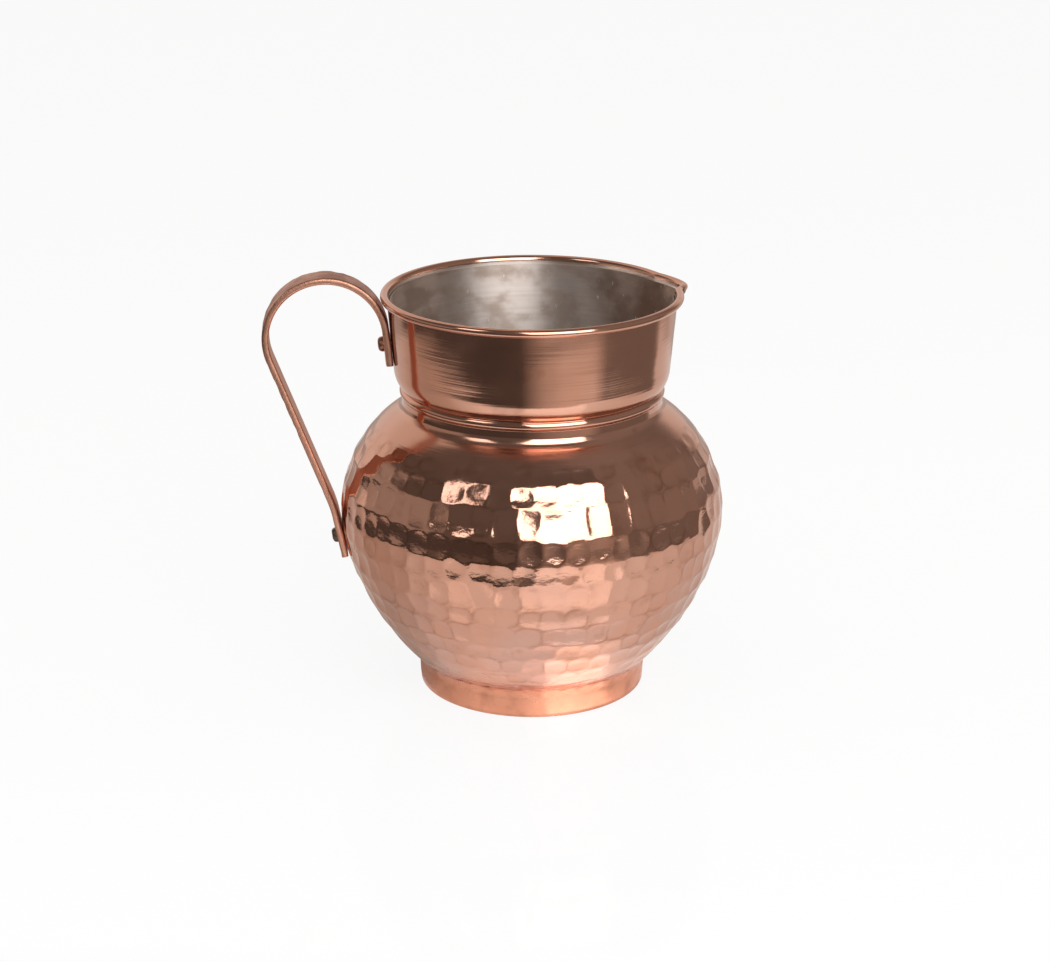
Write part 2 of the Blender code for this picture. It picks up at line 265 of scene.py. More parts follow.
# Textures: depths of bump
GRAIN_DEPTH = 0.000006
TIN_STREAK_DEPTH = 0.000025
TIN_CLOUD_DEPTH = 0.0004
TIN_SPECK_DEPTH = 0.00004
FOOT_PITS = 0.000006
WIRE_PITS = 0.00001
RIVET_PITS = 0.000014
STRAP_PATCH_DEPTH = 0.00008
STRAP_PIT_DEPTH = 0.00012
SOLDER_DEPTH = 0.0003
FLOOR_DEPTH = 0.00001

# Roughness
COPPER_ROUGHNESS = (0.07, 0.13)
NECK_DULLING = 0.02
SLOPE_DULLING = 0.08
FOOT_CORNER_DULLING = 0.20
RIM_TIN_DULLING = 0.20
TIN_ROUGHNESS = (0.56, 0.70)
TIN_ANISOTROPY = 0.85
TIN_ANISOTROPY_TURN = 0.25
SATIN_ROUGHNESS_RANGE = 0.12
FOOT_ROUGHNESS = 0.26
WIRE_ROUGHNESS = 0.34
BROWN_RIVET_ROUGHNESS = 0.30
GREY_RIVET_ROUGHNESS = 0.34
STRAP_ROUGHNESS = (0.34, 0.44)
SOLDER_ROUGHNESS = (0.38, 0.58)
FLOOR_ROUGHNESS = (0.08, 0.11)

# Camera, by its place about the vessel's axis
VIEW_DEG = -4.5
CAMERA_DISTANCE = 0.84503
CAMERA_HEIGHT = 0.36799
CAMERA_PITCH_DEG = 19.0625
CAMERA_YAW_DEG = 0.1716
CAMERA_LENS = 83.583
CAMERA_SENSOR = 36.0
CAMERA_NEAR = 0.01

# Floor and world: colours, how far they are lifted towards white where they are seen, and gloss
FLOOR = (0.90, 0.90, 0.90)
GREY_FLOOR = (0.89, 0.89, 0.89)
FLOOR_LIFT = 0.88
METAL_FLOOR_LIFT = 0.40
FLOOR_REACH = 6.0
FLOOR_IOR = 1.8
WORLD_LEVEL = 0.78

# Room that shows in the metal, as painted reflections of glowing screens. A bearing is an angle to the
# right, from the camera's side of the vessel.
ROOM_REACH = 2.5
ROOM_LIFT = 0.0006
ROOM_NEAR = 0.0424
SHINE_END = 0.0700
WALL_RISES_DEG = (0.0, 20.0, 28.0, 42.0, 50.0, 70.0, 90.0)
FLOOR_EDGE = 0.03
FAR_FLOOR = 0.340
ROOM_TINT = (1.0, 0.90, 0.83)
FLOOR_WARMTH = (1.0, 1.25, 1.45)
# By bearing: glow of the walls below, halfway and above, share of the lit floor's light (painted shade
# where lower), distance where the lit floor ends, glow of the floor beyond and far away, and the painted
# shine of the floor at the foot
ROOM = np.array((
    (-180.0, 0.66, 0.55, 0.50, 0.80, 0.420, 0.45, 0.45, 0.25),
    (-150.0, 0.80, 0.72, 0.70, 0.76, 0.420, 0.45, 0.45, 0.20),
    (-125.0, 0.80, 0.72, 0.70, 0.70, 0.420, 0.40, 0.40, 0.10),
    (-118.0, 0.40, 0.14, 0.14, 0.64, 0.420, 0.08, 0.08, 0.00),
    (-94.0, 0.38, 0.12, 0.13, 0.55, 0.380, 0.08, 0.08, 0.00),
    (-71.0, 0.37, 0.11, 0.13, 0.63, 0.330, 0.08, 0.08, 0.00),
    (-62.0, 0.36, 0.11, 0.13, 0.76, 0.310, 0.08, 0.08, 0.05),
    (-55.0, 0.14, 0.12, 0.13, 0.82, 0.298, 0.08, 0.08, 0.10),
    (-41.0, 0.14, 0.12, 0.13, 0.88, 0.272, 0.07, 0.08, 0.12),
    (-36.0, 0.14, 0.12, 0.13, 0.92, 0.256, 0.07, 0.08, 0.15),
    (-28.0, 0.14, 0.12, 0.13, 0.94, 0.235, 0.07, 0.08, 0.18),
    (-8.0, 0.15, 0.14, 0.13, 0.96, 0.210, 0.08, 0.09, 0.20),
    (6.0, 0.22, 0.21, 0.13, 0.96, 0.210, 0.44, 0.22, 0.30),
    (10.0, 0.23, 0.22, 0.13, 0.96, 0.210, 0.54, 0.28, 1.10),
    (25.0, 0.25, 0.24, 0.14, 0.98, 0.220, 0.74, 0.40, 1.20),
    (43.0, 0.26, 0.25, 0.14, 0.96, 0.260, 0.76, 0.44, 1.10),
    (49.0, 0.26, 0.25, 0.14, 0.95, 0.275, 0.74, 0.40, 0.35),
    (60.0, 0.25, 0.24, 0.15, 0.88, 0.290, 0.20, 0.19, 0.25),
    (66.0, 0.26, 0.25, 0.24, 0.86, 0.290, 0.20, 0.20, 0.25),
    (90.0, 0.28, 0.26, 0.26, 0.80, 0.290, 0.19, 0.20, 0.25),
    (113.0, 0.27, 0.25, 0.25, 0.80, 0.290, 0.19, 0.20, 0.35),
    (119.0, 0.26, 0.24, 0.24, 0.84, 0.420, 0.50, 0.50, 0.30),
    (134.0, 0.22, 0.19, 0.19, 0.84, 0.420, 0.47, 0.47, 0.25),
    (140.0, 0.40, 0.18, 0.18, 0.84, 0.420, 0.58, 0.58, 0.25),
    (146.0, 0.62, 0.22, 0.18, 0.84, 0.420, 0.58, 0.58, 0.25),
    (152.0, 0.72, 0.42, 0.24, 0.83, 0.420, 0.52, 0.52, 0.25),
    (160.0, 0.72, 0.50, 0.24, 0.82, 0.420, 0.47, 0.47, 0.25),
    (180.0, 0.66, 0.55, 0.50, 0.80, 0.420, 0.45, 0.45, 0.25),
))
ROOM_STEP_DEG = 2.0

# Softboxes: name, bearing, elevation, distance, width, height, power
SOFTBOXES = (
    ("key_softbox", 21.5, 28.5, 1.15, 0.98, 0.98, 10.5),
    ("fill_softbox", -50.0, 38.0, 1.20, 0.36, 0.46, 1.00),
)
SOFTBOX_AIM = 0.08

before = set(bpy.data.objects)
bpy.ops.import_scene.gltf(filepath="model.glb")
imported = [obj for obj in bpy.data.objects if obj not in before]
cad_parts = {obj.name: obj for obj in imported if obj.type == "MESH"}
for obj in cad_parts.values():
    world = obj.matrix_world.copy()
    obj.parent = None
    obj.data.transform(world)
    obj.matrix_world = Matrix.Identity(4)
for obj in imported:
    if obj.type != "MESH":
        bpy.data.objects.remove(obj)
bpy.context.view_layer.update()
foot_low, foot_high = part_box("foot_ring")
AXIS = Vector(((foot_low.x + foot_high.x) / 2, 0.0, 0.0))


# Profiles: rows of (distance from the axis, height)

def arc(centre, radius, start_deg, end_deg):
    steps = max(ARC_LEAST_STEPS, int(radius * abs(end_deg - start_deg) * ARC_FINENESS))
    angles = np.radians(np.linspace(start_deg, end_deg, steps + 1))
    return np.column_stack((centre[0] + radius * np.cos(angles), centre[1] + radius * np.sin(angles)))


def bezier(start, first_pull, second_pull, end):
    start, first_pull, second_pull, end = np.array((start, first_pull, second_pull, end))
    t = np.linspace(0.0, 1.0, CURVE_POINTS)[:, None]
    s = 1.0 - t
    return s**3 * start + 3 * s * s * t * first_pull + 3 * s * t * t * second_pull + t**3 * end


def lengths_along(path):
    return np.concatenate(([0.0], np.cumsum(np.linalg.norm(np.diff(path, axis=0), axis=1))))


def at_places(places, along, values):
    return np.stack([np.interp(places, along, values[:, i]) for i in range(2)], axis=-1)


def even_steps(path, step):
    """The path resampled to even steps of about the given length, with both ends kept."""
    path = np.array(path)
    along = lengths_along(path)
    wanted = np.linspace(0.0, along[-1], max(2, round(along[-1] / step) + 1))
    return at_places(wanted, along, path)


def outward_normals(path):
    """Unit normals on the right-hand side of a path that climbs the outer side of the vessel."""
    tangents = np.gradient(path, axis=0)
    normals = np.column_stack((tangents[:, 1], -tangents[:, 0]))
    return normals / np.linalg.norm(normals, axis=1)[:, None]


BOWL_SLOPE = math.radians(BOWL_SLOPE_DEG)
FOOT_SEAT = np.array((FOOT_RADIUS, FOOT_HEIGHT))
BELLY_HEIGHT = FOOT_HEIGHT + BOWL_HEIGHT
SHOULDER_CENTRE = np.array((BELLY_RADIUS - SHOULDER_RADIUS, BELLY_HEIGHT))
THROAT_OFFSET = THROAT_RADIUS + THROAT_FILLET - SHOULDER_CENTRE[0]
THROAT_RISE = math.sqrt((SHOULDER_RADIUS + THROAT_FILLET) ** 2 - THROAT_OFFSET**2)
THROAT_CENTRE = SHOULDER_CENTRE + (THROAT_OFFSET, THROAT_RISE)
COLLAR_TOP = THROAT_CENTRE[1] + COLLAR_RISE + COLLAR_HEIGHT
NECK_CORNER_DEG = 2 * math.degrees(math.atan(NECK_STEP / NECK_FOOT_RISE))
NECK_CORNER = NECK_FOOT_RISE / math.sin(math.radians(NECK_CORNER_DEG))
NECK_BASE = np.array((THROAT_RADIUS + NECK_STEP, COLLAR_TOP + NECK_FOOT_RISE))
NECK_TOP = NECK_BASE + (NECK_FLARE, NECK_WALL_HEIGHT)
UPPER_RIVET_HEIGHT = NECK_TOP[1] - UPPER_RIVET_DROP
BEAD_CENTRE = NECK_TOP + (BEAD_DIAMETER / 2 - SHEET, 0.0)
BEAD_BOTTOM = BEAD_CENTRE[1] - BEAD_DIAMETER / 2


def base_profile():
    """The flat bottom and its rounded corner, up to the foot's seat."""
    corner = FOOT_SEAT - BASE_DROP * np.array((math.tan(BOWL_SLOPE), 1.0))
    centre = corner + (-BASE_CORNER * math.tan((math.pi / 2 - BOWL_SLOPE) / 2), BASE_CORNER)
    rounded = arc(centre, BASE_CORNER, -90.0, -BOWL_SLOPE_DEG)
    flat = (PLAIN_STEP, corner[1]), rounded[0]
    return np.vstack((even_steps(flat, 4 * PLAIN_STEP)[:-1], even_steps(rounded, PLAIN_STEP)))


def bowl_profile():
    lower = FOOT_SEAT + BOWL_LOWER_PULL * np.array((math.sin(BOWL_SLOPE), math.cos(BOWL_SLOPE)))
    upper = BELLY_RADIUS, BELLY_HEIGHT - BOWL_UPPER_PULL
    return even_steps(bezier(FOOT_SEAT, lower, upper, (BELLY_RADIUS, BELLY_HEIGHT)), PATH_STEP)


def shoulder_profile():
    """The convex shoulder, its straight upper slope and the hollow fillet below the throat."""
    round_part = arc(SHOULDER_CENTRE, SHOULDER_RADIUS, 0.0, SLOPE_START_DEG)
    start = round_part[-1]
    facing = math.radians(SLOPE_FACES_DEG)
    climb = np.array((-math.sin(facing), math.cos(facing)))
    corner = start + climb * (start[0] - THROAT_RADIUS) / math.sin(facing)
    pull = SLOPE_FILLET * math.tan(facing / 2)
    fillet_centre = (THROAT_RADIUS + SLOPE_FILLET, corner[1] + pull)
    fillet = arc(fillet_centre, SLOPE_FILLET, 180.0 + SLOPE_FACES_DEG, 180.0)
    # The turn into the slope is eased over a short blend
    along = lengths_along(round_part)
    cut = np.searchsorted(along, along[-1] - SLOPE_BLEND_BELOW)
    before = round_part[cut]
    last_step = round_part[cut] - round_part[cut - 1]
    tangent = last_step / np.linalg.norm(last_step)
    after = start + climb * SLOPE_BLEND_ABOVE
    pull = (SLOPE_BLEND_BELOW + SLOPE_BLEND_ABOVE) / 3
    turn = bezier(before, before + tangent * pull, after - climb * pull, after)
    upper = np.vstack((round_part[:cut], turn, fillet))
    return even_steps(upper, PATH_STEP)[1:]


def neck_profile():
    """The collar ring, the rounded foot of the neck and its flaring wall."""
    radius = (COLLAR_HEIGHT**2 / 4 + COLLAR_PROUD**2) / (2 * COLLAR_PROUD)
    half = math.degrees(math.asin(COLLAR_HEIGHT / 2 / radius))
    collar_centre = (THROAT_RADIUS + COLLAR_PROUD - radius, COLLAR_TOP - COLLAR_HEIGHT / 2)
    collar = even_steps(arc(collar_centre, radius, -half, half), PLAIN_STEP / 6)
    corner = arc(NECK_BASE - (NECK_CORNER, 0.0), NECK_CORNER, -NECK_CORNER_DEG, 0.0)
    corner = even_steps(corner, PLAIN_STEP / 2)
    wall = even_steps((NECK_BASE, NECK_TOP), PLAIN_STEP)
    return np.vstack((collar, corner[1:], wall[1:]))


def side_path():
    """The outer side from the foot's seat to the rim: places along it, points and outward normals."""
    path = np.vstack((bowl_profile(), shoulder_profile(), neck_profile()))
    return lengths_along(path), path, outward_normals(path)


def wall_at(height):
    """Point, outward normal and upward tangent of the vessel's outer side, in the profile's plane."""
    _, path, normals = side_path()
    point = at_places(height, path[:, 1], path)
    normal = at_places(height, path[:, 1], normals)
    normal /= np.linalg.norm(normal)
    return point, normal, np.array((-normal[1], normal[0]))


def lip_shift(angles, heights):
    """How far the pinched lip moves points of the neck outward."""
    turn = (angles - math.radians(LIP_TURN_DEG) + math.pi) % (2 * math.pi) - math.pi
    across = turn / np.radians(np.where(turn < 0.0, LIP_NEAR_DEG, LIP_FAR_DEG))
    edge = math.hypot(1.0, LIP_TIP_ROUND)
    share = (edge - np.hypot(across, LIP_TIP_ROUND)) / (edge - LIP_TIP_ROUND)
    rise = np.clip((heights - BEAD_BOTTOM) / LIP_DEPTH + 1.0, 0.0, 1.0)
    return LIP_REACH * np.clip(share, 0.0, 1.0) * rise * rise


def unevenness(angles, heights, wavelength, seed):
    """Slow seeded waves round and up a turned surface, between about -1 and 1."""
    rng = np.random.default_rng(seed)
    total = np.zeros(np.broadcast(angles, heights).shape)
    for _ in range(WAVE_COUNT):
        around = rng.integers(*WAVES_ROUND)
        climb = rng.normal() * 2 * math.pi / wavelength
        total = total + np.sin(around * angles + climb * heights + rng.uniform(0.0, 2 * math.pi))
    return total / math.sqrt(WAVE_COUNT * 2)


def eased(share):
    """A share limited to 0 and 1, with soft ends."""
    share = np.clip(share, 0.0, 1.0)
    return share * share * (3.0 - 2.0 * share)


# Hammer marks: shallow dishes in staggered rings, whose edges meet in ridges

def turning_places(along, path, first, step, bend_deg):
    """Places from the given one to the end, at most a step apart, closer at bends, creases and the lip."""
    steps = np.diff(path, axis=0)
    bends = np.abs(np.diff(np.unwrap(np.arctan2(steps[:, 1], steps[:, 0]))))
    sharp = bends > math.radians(CREASE_DEG)
    bent = np.concatenate(([0.0, 0.0], np.cumsum(np.where(sharp, 0.0, bends))))
    cost = along / step + bent / math.radians(bend_deg)
    start = np.interp(first, along, cost)
    places = np.interp(np.linspace(start, cost[-1], round(cost[-1] - start)), cost, along)
    beside_lip = np.interp(np.linspace(NECK_TOP[1] - LIP_DEPTH, NECK_TOP[1], LIP_ROWS), path[:, 1], along)
    creases = along[1:-1][sharp]
    creases = creases[creases > first + CREASE_MARGIN]
    beside = np.concatenate((creases - CREASE_MARGIN, creases, creases + CREASE_MARGIN))
    return np.unique(np.concatenate((places, beside_lip, beside)))


def ring_drift(ring, angles):
    """How far the edge below a ring of marks wanders up and down round the vessel."""
    wander = sum(size * np.sin(waves * angles + lead * ring) for waves, lead, size in RING_WAVES)
    return RING_DRIFT * wander * min(ring, 1)


def ring_count(ring, along, path):
    """Number of marks in a ring, and the turn of its first one."""
    middle = (RING_EDGES[ring] + RING_EDGES[ring + 1]) / 2
    count = round(2 * math.pi * np.interp(middle, along, path[:, 0]) / MARK_SPACING)
    return count, (ring % 2) * math.pi / count


def hammer_marks(along, path):
    """Places along the side, turns, hollows, roundness, depths and tilts of the marks, one row each."""
    rng = np.random.default_rng(MARK_SEED)
    marks = []
    for ring, (share, roundness) in enumerate(zip(RING_SHARES, RING_ROUNDNESS)):
        low, high = RING_EDGES[ring], RING_EDGES[ring + 1]
        count, first = ring_count(ring, along, path)
        full = (high - low) ** 2 / (8 * MARK_HOLLOW_UP)
        for i in range(count):
            turn = first + (i + rng.normal(0.0, MARK_TURN_SPREAD)) * 2 * math.pi / count
            drift = (ring_drift(ring, turn) + ring_drift(ring + 1, turn)) / 2
            drift = drift + rng.normal(0.0, MARK_PLACE_SPREAD)
            hollow = MARK_HOLLOW_UP * rng.uniform(*MARK_HOLLOW_RANGE)
            depth = full * share * rng.uniform(*MARK_DEPTH_RANGE)
            tilts = rng.normal(0.0, MARK_TILT_UP), rng.normal(0.0, MARK_TILT_ROUND)
            marks.append(((low + high) / 2 + drift, turn, hollow, roundness, depth, *tilts))
    return np.array(marks).T


def ring_grid(along, path, angles):
    """Places along the side and turns of the hammered part's mesh points, close together at the ridges."""
    places = []
    turns = []
    for ring in range(len(RING_SHARES)):
        low = RING_EDGES[ring] + ring_drift(ring, angles)
        high = RING_EDGES[ring + 1] + ring_drift(ring + 1, angles)
        count, first = ring_count(ring, along, path)
        for share in RING_ROWS:
            crowding = RIDGE_CROWDING * math.sin(math.pi * share) ** 2 / count
            places.append(low + (high - low) * share)
            turns.append(angles + crowding * np.sin(count * (angles - first)))
    return np.array(places), np.array(turns)


def hammered(places, turns, radii, marks):
    """Depth of the dishes and closeness to a ridge, at every mesh point of the hammered part."""
    mark_place, mark_turn, hollow, roundness, depth, tilt_up, tilt_round = marks
    reach = MARK_REACH * max(np.diff(RING_EDGES))
    shift = np.zeros_like(places)
    ridge = np.zeros_like(places)
    for row in range(len(places)):
        near = np.abs(mark_place - places[row].mean()) < reach
        above = places[row][:, None] - mark_place[None, near]
        apart = (turns[row][:, None] - mark_turn[None, near] + math.pi) % (2 * math.pi) - math.pi
        beside = apart * radii[row][:, None]
        flat_sided = MARK_SIDE_RISE * (2 * beside / MARK_SPACING) ** 4 * (1.0 - roundness[near])
        dish = (above**2 + roundness[near] * beside**2) / (2 * hollow[near])
        level = dish + flat_sided + above * tilt_up[near] + beside * tilt_round[near] - depth[near]
        level = np.column_stack((level, np.zeros(places.shape[1])))
        shift[row] = -MARK_SOFTNESS * np.log(np.exp(-level / MARK_SOFTNESS).sum(axis=1))
        share = np.exp(-level / RIDGE_SHADE_SOFTNESS)
        ridge[row] = np.clip(2.0 - 2.0 * share.max(axis=1) / share.sum(axis=1), 0.0, 1.0)
    return shift, ridge


def pad_share(turns, radii, heights):
    """One where the strap's lower end lies on the belly, which is beaten flat there, and else zero."""
    side = np.abs(radii * np.sin(turns)) - STRAP_WIDTH / 2
    above = heights - (LOWER_RIVET_HEIGHT + LOWER_RISE)
    below = LOWER_RIVET_HEIGHT - LOWER_TAIL - heights
    outside = np.maximum(np.maximum(above, below), side)
    return eased(1.0 - outside / PAD_MARGIN) * (np.cos(turns) < 0.0)


# Building objects

def add_object(name, data):
    made = bpy.data.objects.new(name, data)
    bpy.context.scene.collection.objects.link(made)
    return made


def add_piece(name, points, faces, material, replaced):
    mesh = bpy.data.meshes.new(name)
    mesh.from_pydata(points, [], faces)
    mesh.validate()
    mesh.shade_smooth()
    mesh.set_sharp_from_angle(angle=math.radians(SHARP_DEG))
    mesh.materials.append(material)
    piece = add_object(name, mesh)
    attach(piece, "root")
    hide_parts(replaced)
    return piece


def add_values(piece, name, values):
    """One number for each point of a piece, for its material to read."""
    piece.data.attributes.new(name, "FLOAT", "POINT").data.foreach_set("value", values)


def grid_faces(rows, columns, rows_closed=False, columns_closed=True):
    """Quads of a grid, closed round its rows and its columns as asked."""
    faces = []
    for row in range(rows if rows_closed else rows - 1):
        above = (row + 1) % rows
        for column in range(columns if columns_closed else columns - 1):
            beside = (column + 1) % columns
            faces.append((
                row * columns + column, row * columns + beside,
                above * columns + beside, above * columns + column))
    return faces


def turned_points(radius, height, angles):
    x = AXIS.x + radius * np.cos(angles)
    y = radius * np.sin(angles)
    return np.stack((x, y, np.broadcast_to(height, x.shape)), axis=-1).reshape(-1, 3)


def capped(points, faces, rows, columns, first_height, last_height):
    """Close both ends of a turned skin with a fan on the axis."""
    first = len(points)
    points = np.vstack((points, (AXIS.x, 0.0, first_height), (AXIS.x, 0.0, last_height)))
    start = (rows - 1) * columns
    for column in range(columns):
        beside = (column + 1) % columns
        faces.append((first, beside, column))
        faces.append((first + 1, start + column, start + beside))
    return points, faces


def end_faces(rows, columns):
    """Flat faces that close both ends of a grid."""
    first = tuple(range(columns))
    return [first[::-1], tuple((rows - 1) * columns + column for column in first)]


def full_turn(columns):
    return np.arange(columns) * 2 * math.pi / columns


# Materials

def put(tree, socket, value):
    if isinstance(value, bpy.types.NodeSocket):
        tree.links.new(value, socket)
    elif isinstance(value, tuple) and len(value) == 3 and socket.type == "RGBA":
        socket.default_value = (*value, 1.0)
    else:
        socket.default_value = value


def node(tree, kind, inputs=None, **settings):
    made = tree.nodes.new("ShaderNode" + kind)
    for key, value in settings.items():
        setattr(made, key, value)
    for key, value in (inputs or {}).items():
        put(tree, made.inputs[key], value)
    return made


def new_look(name, metallic=1.0):
    """A material with its node tree, its shader and the coordinates in metres."""
    material = bpy.data.materials.new(name)
    material.use_nodes = True
    tree = material.node_tree
    shader = tree.nodes["Principled BSDF"]
    shader.inputs["Metallic"].default_value = metallic
    place = node(tree, "TexCoord").outputs["Object"]
    return material, tree, shader, place


def noise(tree, place, scale, detail=3.0, stretch=None):
    """Noise of about 1 / scale metres, stretched along the axes if asked."""
    if stretch:
        place = node(tree, "Mapping", {"Vector": place, "Scale": stretch}).outputs["Vector"]
    return node(tree, "TexNoise", {"Vector": place, "Scale": scale, "Detail": detail}).outputs["Fac"]


def between(tree, value, low, high, to_low=0.0, to_high=1.0):
    """The value's share of the way from low to high, eased at both ends, as a number in a second range."""
    limits = {"Value": value, "From Min": low, "From Max": high, "To Min": to_low, "To Max": to_high}
    return node(tree, "MapRange", limits, interpolation_type="SMOOTHSTEP").outputs["Result"]


def maths(tree, operation, first, second):
    return node(tree, "Math", {0: first, 1: second}, operation=operation).outputs[0]


def times(tree, first, second):
    return maths(tree, "MULTIPLY", first, second)


def blend(tree, share, first, second):
    return node(tree, "Mix", {0: share, 6: first, 7: second}, data_type="RGBA").outputs[2]


def bump(tree, height, depth, under=None):
    made = node(tree, "Bump", {"Height": height, "Distance": depth, "Strength": 1.0})
    if under:
        tree.links.new(under, made.inputs["Normal"])
    return made.outputs["Normal"]


def ripples(tree, place, texture, share, under=None):
    """Bump of a stretched texture, as deep as the share says."""
    waves, detail, depth = texture
    return bump(tree, times(tree, noise(tree, place, 1.0, detail, waves), share), depth, under)


def stored(tree, name, output="Fac"):
    """Values that the mesh holds under a name."""
    return node(tree, "Attribute", attribute_name=name).outputs[output]


def along_axis(tree, place, axis):
    return node(tree, "SeparateXYZ", {"Vector": place}).outputs[axis]


def set_look(tree, shader, colour, roughness, normal):
    put(tree, shader.inputs["Base Color"], colour)
    put(tree, shader.inputs["Roughness"], roughness)
    put(tree, shader.inputs["Normal"], normal)


def vessel_copper():
    """Polished copper: hammered below, turned lines on the shoulder and neck, tinned inside the rim."""
    material, tree, shader, place = new_look("hammered_copper_look")
    height = along_axis(tree, place, "Z")
    neck = between(tree, height, *NECK_STARTS)
    worn_neck = times(tree, neck, between(tree, height, *NECK_WEAR_ENDS, 0.15, 0.5))
    slope = between(tree, height, *SLOPE_STARTS)
    slope = times(tree, slope, between(tree, height, *SLOPE_ENDS))
    lined = maths(tree, "MAXIMUM", worn_neck, slope)
    turned = between(tree, height, *TURNING_STARTS)
    beaten = between(tree, height, *HAMMERING_ENDS)
    low = between(tree, height, *FOOT_CORNER_ENDS)
    ridge = stored(tree, "ridge")
    tinned = stored(tree, "tinned")

    patches = between(tree, noise(tree, place, PATCH_WAVES), 0.38, 0.62)
    pink = times(tree, patches, between(tree, height, *PINK_STARTS, 0.35, 1.5))
    clean = blend(tree, pink, COPPER, PINK_COPPER)
    stains = between(tree, noise(tree, place, STAIN_WAVES, 5.0), 0.58, 0.72, 0.0, 0.30)
    stained = blend(tree, stains, clean, BROWN_COPPER)
    # Darker brown along the ridges between hammer marks, in patches: painted shade of the ridges
    ridge_shade = between(tree, noise(tree, place, RIDGE_SHADE_WAVES), 0.44, 0.64, 0.06, 0.65)
    ridge_shade = times(tree, ridge, ridge_shade)
    copper = blend(tree, ridge_shade, stained, BROWN_COPPER)
    colour = blend(tree, tinned, copper, TIN)

    roughness = between(tree, noise(tree, place, POLISH_WAVES, 4.0), 0.35, 0.68, *COPPER_ROUGHNESS)
    dulled = (
        (neck, NECK_DULLING), (slope, SLOPE_DULLING), (low, FOOT_CORNER_DULLING), (tinned, RIM_TIN_DULLING))
    for share, dulling in dulled:
        roughness = maths(tree, "ADD", roughness, times(tree, share, dulling))

    normal = ripples(tree, place, WIDE_LINES, lined)
    ground = times(tree, turned, between(tree, slope, 0.0, 1.0, 0.3, 1.0))
    normal = ripples(tree, place, FINE_LINES, ground, normal)
    normal = ripples(tree, place, CREASES, low, normal)
    normal = ripples(tree, place, WRINKLES, beaten, normal)
    normal = bump(tree, noise(tree, place, GRAIN_WAVES, 4.0), GRAIN_DEPTH, normal)
    set_look(tree, shader, colour, roughness, normal)
    return material


def wiped_tin():
    """Grey tin wiped round the inside while molten: fine streaks, brown clouds and dull patches."""
    material, tree, shader, place = new_look("wiped_tin_look")
    shader.inputs["Anisotropic"].default_value = TIN_ANISOTROPY
    shader.inputs["Anisotropic Rotation"].default_value = TIN_ANISOTROPY_TURN
    streaks = noise(tree, place, 1.0, 5.0, TIN_STREAK_WAVES)
    clouds = noise(tree, place, TIN_CLOUD_WAVES, 4.0)
    specks = between(tree, noise(tree, place, TIN_SPECK_WAVES, 2.0), 0.68, 0.76)
    blotches = noise(tree, place, TIN_BLOTCH_WAVES, 8.0, TIN_BLOTCH_STRETCH)
    grey = blend(tree, between(tree, streaks, 0.30, 0.70), DARK_TIN, TIN)
    tinted = blend(tree, between(tree, blotches, 0.40, 0.64, 0.0, 0.80), grey, BROWN_TIN)
    # Darker brown towards +X: partly a stain, partly painted shade on that side of the inside
    stain_and_shade = between(tree, along_axis(tree, place, "X"), *TIN_STAIN_AND_SHADE_STARTS)
    stain_and_shade = times(tree, stain_and_shade, between(tree, clouds, 0.30, 0.60, 1.0, 0.6))
    near_rim = between(tree, along_axis(tree, place, "Z"), *SMOKE_STARTS, 0.0, 0.25)
    smoked = times(tree, near_rim, between(tree, streaks, 0.35, 0.65, 0.3, 1.0))
    stained = blend(tree, maths(tree, "MAXIMUM", stain_and_shade, smoked), tinted, STAINED_AND_SHADED_TIN)
    colour = blend(tree, specks, stained, TIN)
    roughness = between(tree, blotches, 0.38, 0.66, *TIN_ROUGHNESS)
    normal = bump(tree, streaks, TIN_STREAK_DEPTH)
    normal = bump(tree, clouds, TIN_CLOUD_DEPTH, normal)
    normal = bump(tree, specks, TIN_SPECK_DEPTH, normal)
    set_look(tree, shader, colour, roughness, normal)
    return material


def satin_copper(name, colour, roughness, pit_depth):
    """Copper with a satin face, brown in places and lightly pitted."""
    material, tree, shader, place = new_look(name)
    patches = noise(tree, place, SATIN_PATCH_WAVES, 4.0)
    grain = noise(tree, place, SATIN_GRAIN_WAVES, 5.0)
    worn = blend(tree, between(tree, patches, 0.46, 0.72, 0.0, 0.55), colour, BROWN_COPPER)
    rubbed = between(tree, patches, 0.30, 0.70, roughness, roughness + SATIN_ROUGHNESS_RANGE)
    normal = bump(tree, patches, pit_depth * 3)
    normal = bump(tree, grain, pit_depth, normal)
    set_look(tree, shader, worn, rubbed, normal)
    return material


def strap_copper():
    """Satin copper on the strap's edges and inner face, and a browner, pitted outer face."""
    material, tree, shader, place = new_look("strap_copper_look")
    outer = stored(tree, "outer")
    patches = noise(tree, place, STRAP_PATCH_WAVES, 4.0)
    pits = noise(tree, place, STRAP_PIT_WAVES, 3.0)
    brown = times(tree, outer, between(tree, patches, 0.35, 0.65, 0.45, 1.0))
    worn = blend(tree, brown, STRAP_COPPER, STRAP_BROWN)
    speckled = between(tree, pits, 0.52, 0.66)
    speckled = times(tree, speckled, between(tree, outer, 0.0, 1.0, 0.12, 0.60))
    colour = blend(tree, speckled, worn, BROWN_COPPER)
    roughness = between(tree, patches, 0.30, 0.70, *STRAP_ROUGHNESS)
    normal = bump(tree, patches, STRAP_PATCH_DEPTH)
    pitted = times(tree, pits, between(tree, outer, 0.0, 1.0, 0.2, 1.0))
    normal = bump(tree, pitted, STRAP_PIT_DEPTH, normal)
    set_look(tree, shader, colour, roughness, normal)
    return material


def soft_solder():
    material, tree, shader, place = new_look("soft_solder_look")
    lumps = noise(tree, place, SOLDER_WAVES, 4.0)
    colour = blend(tree, lumps, DARK_SOLDER, SOLDER)
    roughness = between(tree, lumps, 0.3, 0.7, *SOLDER_ROUGHNESS)
    set_look(tree, shader, colour, roughness, bump(tree, lumps, SOLDER_DEPTH))
    return material


